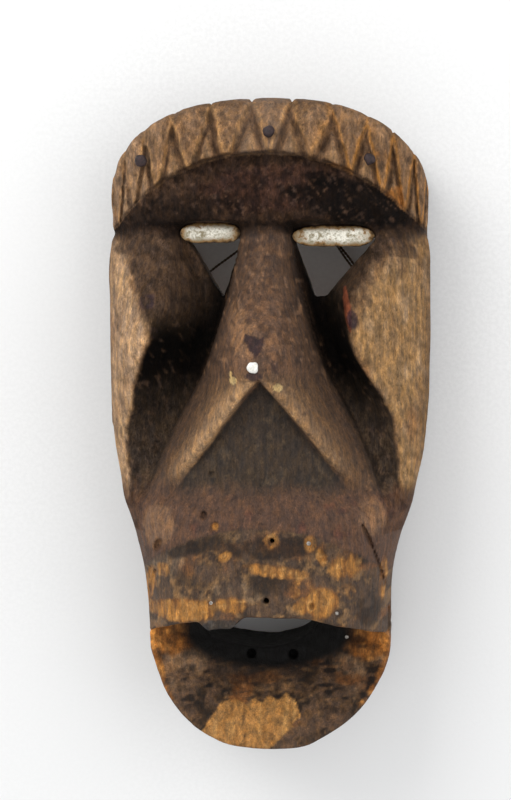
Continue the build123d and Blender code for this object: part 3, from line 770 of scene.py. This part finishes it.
def inside_coat(coat, x, depth, z, front):
    """The brown wood of the hollow, and painted shade on the mouth's walls."""
    inside = smooth(2.5, 1.2, depth - hollow_depth(x, z))
    inside = inside * smooth(-1.2, -0.6, hollow_half_width(z) - np.abs(x))
    inside = inside * (1 - front) * smooth(44.5, 46.5, z)
    coat.lay("4d3928", inside)
    coat.mottle("2c2018", 0.3, 0.7 * inside)
    coat.lay("7a5b3c", 0.4 * inside * smooth(0.1, 0.8, coat.fibre))
    mouth_wall_shade = smooth(1.35, 1.0, np.hypot(x / 36, (z - 50) / 14))
    # painted shade: the mouth's walls made near black
    coat.lay("060403", mouth_wall_shade * smooth(76, 66, depth) * smooth(-2, 4, depth))


def paint(x, depth, z):
    """Colours of the wood's points, and how thick the dark crust lies there, from 0 to 1."""
    coat = Coat(x, z, "574232")
    coat.mottle("3d2e24", 0.3, 0.8)
    coat.mottle("715741", 0.15, 0.6)
    jaw = smooth(0.5, -0.5, z - lip_line(x))
    surface = np.where(jaw > 0.5, jaw_depth(x, z), upper_depth(x, z))
    outer = np.abs(x - centre_line(z)) > hollow_half_width(z)
    front = smooth(np.where(outer, -26, -8), np.where(outer, -2, -3.5), depth - surface + 2 * coat.middling)
    band = smooth(-1.0, 0.6, z - band_edge(x) + 0.9 * coat.middling)
    brow = smooth(235, 241.5, z + 2.5 * coat.coarse)
    face = front * (1 - jaw)
    for lay_coat in (channel_coat, nose_coat, wing_coat, philtrum_coat, cheek_coat, muzzle_coat):
        lay_coat(coat, x, z, face)
    bare_coat(coat, x, z, face * smooth(112, 106, z))
    brow_coat(coat, x, z, face * brow)
    band_coat(coat, x, z, face * band)
    jaw_coat(coat, x, z, front * jaw)
    tip_coat(coat, x, z, face)
    lump_coat(coat, x, z, front)
    inside_coat(coat, x, depth, z, front)
    crust = np.clip(brow * (1 - band) + smooth(-4, 3, np.abs(x) - nose_foot(z)) * (z > 100), 0, 1) * face
    scuffs = noise(x + 0.4 * z, z * 0.6, 1.6, 81) + 0.5 * noise(x - 0.3 * z, z * 0.8, 0.9, 82)
    amount = front * (0.1 + 0.22 * np.clip(crust + jaw, 0, 1))
    worn = 1 + amount * np.clip(scuffs, -1, 1) + 0.1 * front * coat.middling
    return coat.colour * worn[:, None], crust


def store_paint(mesh, x, depth, z):
    colour, crust = paint(x, depth, z)
    layer = mesh.color_attributes.new("paint", "FLOAT_COLOR", "POINT")
    layer.data.foreach_set("color", np.concatenate([colour, crust[:, None]], 1).astype(np.float32).ravel())


def mask_mesh():
    xs, depths, zs = (np.arange(low, high, VOXEL) for low, high in FIELD_BOX)
    x, z = np.meshgrid(xs, zs, indexing="ij")
    grid = openvdb.FloatGrid()
    grid.copyFromArray(wood_field(x, z, depths))
    points, quads = grid.convertToQuads(isovalue=0.0)
    points = points * VOXEL + np.array([xs[0], depths[0], zs[0]])
    mesh = quad_mesh("mask", metres(points), quads)
    co = np.empty(len(mesh.vertices) * 3, np.float32)
    mesh.vertices.foreach_get("co", co)
    co = co.reshape(-1, 3) / MM
    store_paint(mesh, co[:, 0], -co[:, 1], co[:, 2] + ORIGIN_HEIGHT)
    return mesh


# ---------------------------------------------------------------- materials

class Shader:
    """A material's node graph, built up one node at a time."""

    def __init__(self, name, metallic=0.0):
        self.material = bpy.data.materials.new(name)
        self.material.use_nodes = True
        self.tree = self.material.node_tree
        self.surface = self.tree.nodes["Principled BSDF"]
        self.surface.inputs["Metallic"].default_value = metallic
        self.place = self.tree.nodes.new("ShaderNodeTexCoord").outputs["Object"]

    def put(self, socket, value):
        if isinstance(value, bpy.types.NodeSocket):
            self.tree.links.new(value, socket)
        elif isinstance(value, str):
            socket.default_value = [*tone(value), 1.0]
        else:
            socket.default_value = value

    def node(self, kind, inputs, **settings):
        made = self.tree.nodes.new(kind)
        for key, value in settings.items():
            setattr(made, key, value)
        for key, value in inputs.items():
            self.put(made.inputs[key], value)
        return made

    def noise(self, scale, stretch=(1, 1, 1), detail=4, roughness=0.6, turn=(0, 0, 0)):
        mapping = {"Vector": self.place, "Scale": stretch, "Rotation": turn}
        where = self.node("ShaderNodeMapping", mapping).outputs[0]
        values = {"Vector": where, "Scale": scale, "Detail": detail, "Roughness": roughness}
        return self.node("ShaderNodeTexNoise", values).outputs[0]

    def maths(self, operation, a, b=0.0):
        return self.node("ShaderNodeMath", {0: a, 1: b}, operation=operation).outputs[0]

    def step(self, value, low, high, start=0.0, end=1.0):
        values = {"Value": value, "From Min": low, "From Max": high, "To Min": start, "To Max": end}
        return self.node("ShaderNodeMapRange", values, interpolation_type="SMOOTHSTEP").outputs[0]

    def mix(self, share, a, b):
        return self.node("ShaderNodeMix", {0: share, 6: a, 7: b}, data_type="RGBA").outputs[2]

    def vary(self, colour, factor):
        """The colour made lighter or darker by a factor."""
        return self.node("ShaderNodeVectorMath", {0: colour, "Scale": factor}, operation="SCALE").outputs[0]

    def tint(self, colour, other):
        """The colour multiplied by another one."""
        settings = {"data_type": "RGBA", "blend_type": "MULTIPLY"}
        return self.node("ShaderNodeMix", {0: 1.0, 6: colour, 7: other}, **settings).outputs[2]

    def attribute(self, name):
        """Colour and fourth value of the paint stored under a name."""
        stored = self.node("ShaderNodeAttribute", {}, attribute_name=name)
        return stored.outputs["Color"], stored.outputs["Alpha"]

    def over(self, colour, mask, breakup, amount, new_colour, low=0.38, high=0.62):
        """Lays a new colour over the old where a mask, broken up by noise, is high."""
        broken = self.maths("ADD", mask, self.maths("MULTIPLY", self.maths("SUBTRACT", breakup, 0.5), amount))
        return self.mix(self.step(broken, low, high), colour, new_colour)

    def finish(self, colour, roughness, height, strength, distance=0.0004):
        bump = self.node("ShaderNodeBump", {"Height": height, "Strength": strength, "Distance": distance})
        self.put(self.surface.inputs["Base Color"], colour)
        self.put(self.surface.inputs["Roughness"], roughness)
        self.put(self.surface.inputs["Normal"], bump.outputs[0])
        return self.material


def wood_material():
    s = Shader("carved wood")
    colour, crust = s.attribute("paint")
    grain = s.noise(560, (1, 1, 0.12), 6, 0.7)
    fibre = s.noise(700, (1, 1, 0.3), 4, 0.65, turn=(0, 0.9, 0))
    fleck = s.noise(900, (1, 1, 0.45), 3, turn=(0, 0.5, 0))
    patch = s.noise(330, (1, 1, 0.38), 7, 0.75)
    fine = s.noise(1500, (1, 1, 0.6), 4, 0.7)
    colour = s.vary(colour, s.step(grain, 0.34, 0.66, 0.8, 1.17))
    colour = s.vary(colour, s.step(patch, 0.32, 0.68, 0.7, 1.28))
    colour = s.vary(colour, s.step(fine, 0.35, 0.65, 0.8, 1.18))
    colour = s.vary(colour, s.step(fibre, 0.58, 0.68, 1.0, 1.3))
    colour = s.vary(colour, s.step(fibre, 0.42, 0.32, 1.0, 0.68))
    colour = s.tint(colour, s.mix(s.step(patch, 0.35, 0.65), "edf0ff", "fff4e4"))
    colour = s.vary(colour, s.step(fleck, 0.62, 0.7, 1.0, 1.4))
    colour = s.vary(colour, s.step(fleck, 0.38, 0.3, 1.0, 0.55))
    roughness = s.maths("SUBTRACT", s.step(patch, 0.3, 0.7, 0.62, 0.86), s.maths("MULTIPLY", crust, 0.05))
    lumps = s.maths("MULTIPLY", patch, s.maths("ADD", s.maths("MULTIPLY", crust, 1.6), 0.9))
    threads = s.maths("ADD", grain, s.maths("MULTIPLY", fine, 0.7))
    height = s.maths("ADD", threads, s.maths("ADD", lumps, fibre))
    s.put(s.surface.inputs["Specular IOR Level"], s.maths("SUBTRACT", 0.26, s.maths("MULTIPLY", crust, 0.2)))
    return s.finish(colour, roughness, height, 0.85, 0.0009)


def plate_material():
    s = Shader("stained white metal", 0.55)
    rim = s.attribute("rim")[1]
    patch = s.noise(420, detail=5, roughness=0.7)
    fine = s.noise(1400, detail=3)
    colour = s.mix(s.step(patch, 0.36, 0.6), "8d8268", "efece0")
    colour = s.over(colour, rim, patch, 2.0, "8a6a40", 0.22, 0.66)
    colour = s.over(colour, rim, patch, 1.7, "3d2c1b", 0.62, 1.0)
    colour = s.over(colour, s.step(fine, 0.6, 0.72), patch, 1.2, "86704c", 0.75, 1.15)
    height = s.maths("ADD", patch, s.maths("MULTIPLY", fine, 0.4))
    return s.finish(colour, s.step(patch, 0.3, 0.7, 0.35, 0.6), height, 0.5)


def metal_material(name, dark, bright, rust, metallic, gloss):
    s = Shader(name, metallic)
    patch = s.noise(500, detail=5, roughness=0.7)
    fine = s.noise(1900, detail=3)
    colour = s.mix(s.step(patch, 0.35, 0.65), dark, bright)
    colour = s.mix(s.step(fine, 0.55, 0.75), colour, rust)
    height = s.maths("ADD", patch, s.maths("MULTIPLY", fine, 0.5))
    return s.finish(colour, s.step(patch, 0.3, 0.7, gloss, gloss + 0.25), height, 0.6)


def cord_material():
    s = Shader("plant fibre cord")
    fibre = s.noise(2200, detail=3)
    patch = s.noise(260)
    colour = s.mix(s.step(fibre, 0.35, 0.7), "2a2019", "5b4836")
    colour = s.mix(s.step(patch, 0.5, 0.75), colour, "3b2c20")
    return s.finish(colour, 0.85, fibre, 0.8)


def wall_material():
    """Pale woven wall, seen through from behind so that the mask's back can be looked at."""
    s = Shader("pale woven wall")
    threads = s.noise(520, (1, 1, 0.05), 2)
    cloud = s.noise(3, detail=2)
    colour = s.mix(s.step(threads, 0.3, 0.7), "dfe0e1", "e6e7e8")
    colour = s.mix(s.step(cloud, 0.3, 0.7), colour, "e3e4e5")
    s.surface.inputs["Emission Color"].default_value = (1, 0.99, 0.96, 1)
    s.surface.inputs["Emission Strength"].default_value = 0.014
    material = s.finish(colour, 0.9, threads, 0.15)
    clear = s.node("ShaderNodeBsdfTransparent", {})
    behind = s.node("ShaderNodeNewGeometry", {}).outputs["Backfacing"]
    both = s.node("ShaderNodeMixShader", {0: behind, 1: s.surface.outputs[0], 2: clear.outputs[0]})
    s.put(s.tree.nodes["Material Output"].inputs["Surface"], both.outputs[0])
    return material


# ---------------------------------------------------------------- set-in pieces

def grid_quads(rows, columns, closed=False):
    """Quads of a grid of points stored row by row; a closed grid's last column joins its first."""
    i, j = np.meshgrid(np.arange(rows - 1), np.arange(columns - (0 if closed else 1)), indexing="ij")
    i = i.ravel()
    j = j.ravel()
    k = (j + 1) % columns
    return np.stack([i * columns + j, i * columns + k, (i + 1) * columns + k, (i + 1) * columns + j], -1)


def turned(profile, place, seed, uneven):
    """Points and quads of a round solid from (distance along its axis, radius) pairs.

    `place` turns (sideways, up, along) in millimetres into (x, depth, z)."""
    around = np.linspace(0, 2 * np.pi, 28, endpoint=False)
    cos = np.cos(around)
    sin = np.sin(around)
    along = np.array([p[0] for p in profile])[:, None]
    radius = np.array([p[1] for p in profile])[:, None]
    radius = radius * (1 + uneven * noise(1.7 * cos[None, :], 1.7 * sin[None, :], 1, seed))
    dent = uneven * 1.5 * noise(radius * cos, radius * sin, 1.3, seed + 1)
    points = place(radius * cos, radius * sin, along + dent + 0 * radius)
    return metres(np.stack(points, -1)).reshape(-1, 3), grid_quads(len(profile), len(around), closed=True)


def dome(head, height, shank, length):
    """Profile of a nail: point, shank, flat underside, domed head."""
    profile = [(-length, 0.02), (-length + 2.5 * shank, shank), (0, shank), (0.02, shank), (0, head * 0.9)]
    for k in range(9):
        angle = math.pi / 2 * k / 8
        rise = 0.12 * height + 0.88 * height * math.sin(angle)
        profile.append((rise, max(head * math.cos(angle) ** 0.8, 0.02)))
    return profile


def front_nail(name, x, z, proud, profile, material, seed, uneven=0.06):
    """A nail or tack driven straight into the front of the mask."""
    depth = jaw_depth if z < lip_line(np.float64(x)) else upper_depth
    surface = depth(np.array([x]), np.array([z]))[0]

    def place(side, up, along):
        return x + side, surface + proud + along, z + up

    points, quads = turned(profile, place, seed, uneven)
    new_object(name + "_look", quad_mesh(name, points, quads), material, "mask", name)


BAND_NAILS = (            # name, x, z, how far the head stands out
    ("band_nail_left", -57.2, 271.0, 3.0),
    ("band_nail_centre", 2.5, 283.3, 1.6),
    ("band_nail_right", 47.9, 271.0, 2.0),
)
SMALL_TACKS = (           # name, x, z, radius of the head
    ("lip_tack_left", -21.0, 71.7, 0.9),
    ("lip_tack_right", 34.9, 66.8, 0.9),
    ("muzzle_tack", 22.3, 98.2, 1.0),
    ("jaw_tack", 37.7, 48.5, 0.9),
)


def band_nails():
    iron = metal_material("forged iron", "1c1417", "3a2b2c", "4a2c22", 0.35, 0.45)
    for k, (name, x, z, proud) in enumerate(BAND_NAILS):
        front_nail(name, x, z, proud, dome(2.8, 1.9, 1.2, 20), iron, 70 + k, 0.12)


def tacks():
    bright = metal_material("worn bright tack", "d8d6cf", "f4f3ee", "b5a88c", 0.3, 0.3)
    front_nail("nose_tack", -2.3, 177.0, 0.0, dome(2.6, 1.4, 0.5, 8), bright, 80, 0.12)
    dull = metal_material("dull tack", "77706a", "b9b4ad", "4c423a", 0.6, 0.35)
    for k, (name, x, z, head) in enumerate(SMALL_TACKS):
        front_nail(name, x, z, 0.2, dome(head, 0.5, 0.45, 6), dull, 82 + k)


CORD_DEPTH = 10.0         # of the two cord nails, and of the hinge on their line
CORD_HEIGHT = 195.0
CORD_ANCHOR = 61.0        # where the cord is tied, to the left and right of the middle
CORD_PEAK = (13.6, 2.6, 255.6)
STRAND_DISTANCE = 0.3     # of each strand from the cord's middle


def cord_nails():
    wire = metal_material("drawn wire", "4d4641", "77706a", "5a3a28", 0.7, 0.35)
    for side, name in ((-1, "cord_nail_left"), (1, "cord_nail_right")):

        def place(across, up, along):
            return side * (CORD_ANCHOR - 2.6 - along), CORD_DEPTH + across, CORD_HEIGHT + up

        points, quads = turned(dome(1.9, 0.8, 0.9, 13.5), place, 90, 0.02)
        if side > 0:
            quads = quads[:, ::-1]
        new_object(name + "_look", quad_mesh(name, points, quads), wire, "mask", name)


def plate_mesh(name, k):
    """A thin plate with a slightly bulging front; its rim paint says how near the edge a point is."""
    cx, cz, half_long, half_high = PLATES[name]
    u = np.linspace(-1, 1, 61)[:, None]
    v = np.linspace(-1, 1, 21)[None, :]
    wide = np.sqrt(np.clip(1 - np.abs(u) ** 3.2, 0, 1))
    low = np.clip(1 - np.abs(u) ** 5, 0, 1) ** 0.6
    edge = 0.35 * rough(u * 12, 0 * u + k, 2, 95)
    x = cx + half_long * u + 0 * v
    z = cz + np.where(v > 0, v * (half_high * wide + edge), v * (half_high * low + edge))
    bulge = 0.9 * (1 - np.abs(v) ** 2.2) * (1 - u**4) + 0.12 * noise(x, z, 2.2, 96 + k)
    front = np.stack([x, PLATE_FRONT + bulge, z], -1).reshape(-1, 3)
    back = front - np.array([0, PLATE_THICKNESS, 0])
    quads = grid_quads(*x.shape)
    grid = np.arange(x.size).reshape(x.shape)
    ring = np.concatenate([grid[0], grid[1:, -1], grid[-1, -2::-1], grid[-2:0:-1, 0]])
    following = np.roll(ring, -1)
    side = np.stack([ring, following, following + x.size, ring + x.size], -1)
    quads = np.concatenate([quads, quads[:, ::-1] + x.size, side[:, ::-1]])
    mesh = quad_mesh(name, metres(np.concatenate([front, back])), quads)
    shade = np.maximum(0.9 * np.abs(v) ** 1.8, 0.95 * np.abs(u) ** 3) + 0.22 * rough(x, z, 4, 97 + k)
    layer = mesh.color_attributes.new("rim", "FLOAT_COLOR", "POINT")
    layer.data.foreach_set("color", np.repeat(np.tile(shade.ravel(), 2), 4).astype(np.float32))
    return mesh


def eyelid_plates():
    metal = plate_material()
    for k, name in enumerate(PLATES):
        new_object(name + "_look", plate_mesh(name, k), metal, "mask", name)


def cord_path():
    """Centre line of the cord: round one nail, up over the wall nail, down and round the other."""
    left = np.array([-CORD_ANCHOR, CORD_DEPTH, CORD_HEIGHT])
    right = np.array([CORD_ANCHOR, CORD_DEPTH, CORD_HEIGHT])
    turn = np.radians(np.linspace(0, 350, 30))[:, None]
    loop = 2.1 * np.concatenate([0.08 * turn, np.sin(turn), np.cos(turn)], -1)
    top = np.array(CORD_PEAK)
    ends = ((left + (0.6, 0, 2.9), top - (2.6, 0, 2.1)), (top - (-2.2, 0, 2.9), right + (-0.6, 0, 2.9)))
    legs = []
    for start, end in ends:
        t = np.linspace(0, 1, 50)[:, None]
        bend = 0.7 * np.sin(t * 2 * np.pi) + 0.5 * noise(t * 9, 0 * t + start[0], 1, 101)
        legs.append(start + (end - start) * t + bend * np.sin(np.pi * t) * np.array([0.3, 0.35, 0.6]))
    knob = np.radians(np.linspace(140, 40, 8))[:, None]
    crown = top + np.concatenate([2.6 * np.cos(knob), 0 * knob, 2.2 * np.sin(knob) - 1.8], -1)
    return np.concatenate([left + loop, legs[0], crown, legs[1], (right + loop * (-1, 1, 1))[::-1]])


def smoothed(points, count):
    """The same line with evenly spaced points and softer corners."""
    for _ in range(2):
        inner = (points[:-2] + 2 * points[1:-1] + points[2:]) / 4
        points = np.concatenate([points[:1], inner, points[-1:]])
    run = np.concatenate([[0], np.cumsum(np.linalg.norm(np.diff(points, axis=0), axis=1))])
    even = np.linspace(0, run[-1], count)
    return np.stack([np.interp(even, run, points[:, k]) for k in range(3)], -1), run[-1]


def side_directions(line):
    """Two directions square to a line and to each other, at each of its points."""
    ahead = np.gradient(line, axis=0)
    ahead /= np.linalg.norm(ahead, axis=1)[:, None]
    across = np.cross(ahead, [0.13, 1.0, 0.07])
    across /= np.linalg.norm(across, axis=1)[:, None]
    return across, np.cross(ahead, across)


def tube(points, radius, sides=8):
    """Points and quads of a round tube along a line, with its ends drawn in."""
    across, upright = side_directions(points)
    angle = np.linspace(0, 2 * np.pi, sides, endpoint=False)[None, :, None]
    size = np.full(len(points), radius)
    size[0] = size[-1] = radius * 0.15
    ring = across[:, None, :] * np.cos(angle) + upright[:, None, :] * np.sin(angle)
    skin = points[:, None, :] + ring * size[:, None, None]
    return skin.reshape(-1, 3), grid_quads(len(points), sides, closed=True)


def twisted(points, radius, pitch, count):
    """Two strands laid round one line like a rope."""
    line, length = smoothed(points, count)
    across, upright = side_directions(line)
    turn = np.linspace(0, length / pitch * 2 * np.pi, count)[:, None]
    made = []
    for phase in (turn, turn + np.pi):
        away = STRAND_DISTANCE * (across * np.cos(phase) + upright * np.sin(phase))
        made.append(tube(line + away, radius))
    return made


def joined(parts):
    """Several sets of points and quads as one."""
    points = []
    quads = []
    count = 0
    for p, q in parts:
        points.append(p)
        quads.append(q + count)
        count += len(p)
    return np.concatenate(points), np.concatenate(quads)


def lashing(side):
    """The few turns that tie the cord's end below its nail."""
    t = np.linspace(0, 1, 70)[:, None]
    centre = np.array([side * (CORD_ANCHOR - 0.9), CORD_DEPTH, CORD_HEIGHT + 3.6])
    lean = np.array([-side * 0.72, -0.06, 0.6])
    coil = 1.25 * np.concatenate([np.cos(t * 38), np.sin(t * 38), 0 * t], -1)
    return tube(centre + lean * t * 4.5 + coil, 0.3, 6)


def loose_end():
    """The short end of cord that hangs from the knot at the top."""
    t = np.linspace(0, 1, 40)[:, None]
    bends = [1 + 26.5 * t, 0.9 + 2.2 * np.sin(t * 3), -3.4 - 31 * t + 1.6 * np.sin(t * 5)]
    return np.array(CORD_PEAK) + np.concatenate(bends, -1)


def cord():
    parts = twisted(cord_path(), 0.34, 3.6, 900)
    parts += [lashing(side) for side in (-1, 1)]
    parts += twisted(loose_end(), 0.33, 3.4, 160)
    points, quads = joined(parts)
    mesh = quad_mesh("cord", metres(points), quads)
    new_object("cord_strands", mesh, cord_material(), "cord", "hanging_cord")


# ---------------------------------------------------------------- room, light, camera

MASK_MIDDLE = Vector((0, -0.04, 0.13))
CAMERA_TARGET = Vector((-5.5, -45, 160 - ORIGIN_HEIGHT)) * MM
CAMERA_DISTANCE = 0.9
CAMERA_TURN = math.radians(5)
CAMERA_RISE = math.radians(3)
FOCAL_LENGTH = 86.175


def room():
    bpy.ops.mesh.primitive_plane_add(size=4, location=(0, 0.004, 0.13), rotation=(math.pi / 2, 0, 0))
    wall = bpy.context.object
    wall.name = "wall"
    wall.data.materials.append(wall_material())


def lamp(name, place, size, power, colour):
    """A square soft lamp that shines at the middle of the mask."""
    light = bpy.data.lights.new(name, "AREA")
    light.size = size
    light.energy = power
    light.color = colour
    holder = bpy.data.objects.new(name, light)
    bpy.context.scene.collection.objects.link(holder)
    holder.location = place
    holder.rotation_mode = "QUATERNION"
    holder.rotation_quaternion = (MASK_MIDDLE - Vector(place)).to_track_quat("-Z", "Y")
    return holder


def lights():
    lamp("key", (-0.7, -1.0, 1.0), 0.9, 10, (1, 0.985, 0.955))
    lamp("fill", (1.0, -1.2, 0.3), 1.2, 7, (1, 0.99, 0.98))
    lamp("back", (0.3, 1.2, 0.9), 0.8, 6, (1, 0.99, 0.97))
    glow = lamp("hollow", (0, 0.003, 0.14), 0.11, 0.05, (1, 0.98, 0.94))
    glow.rotation_quaternion = Vector((0, -1, 0)).to_track_quat("-Z", "Y")
    glow.visible_camera = False
    world = bpy.data.worlds.new("soft room")
    bpy.context.scene.world = world
    world.use_nodes = True
    background = world.node_tree.nodes["Background"]
    background.inputs["Color"].default_value = (1, 1, 1, 1)
    background.inputs["Strength"].default_value = 0.86
    bpy.context.scene.view_settings.view_transform = "Standard"


def camera():
    """Looks slightly down at the mask from a little to its right."""
    level = math.cos(CAMERA_RISE)
    back = Vector((math.sin(CAMERA_TURN) * level, -math.cos(CAMERA_TURN) * level, math.sin(CAMERA_RISE)))
    data = bpy.data.cameras.new("camera")
    data.sensor_width = 36
    data.lens = FOCAL_LENGTH
    data.clip_start = 0.01
    holder = bpy.data.objects.new("camera", data)
    bpy.context.scene.collection.objects.link(holder)
    holder.location = CAMERA_TARGET + back * CAMERA_DISTANCE
    holder.rotation_mode = "QUATERNION"
    holder.rotation_quaternion = (-back).to_track_quat("-Z", "Y")
    bpy.context.scene.camera = holder


def main():
    new_object("carved_mask", mask_mesh(), wood_material(), "mask", "mask_body")
    eyelid_plates()
    band_nails()
    tacks()
    cord_nails()
    cord()
    room()
    lights()
    camera()


main()
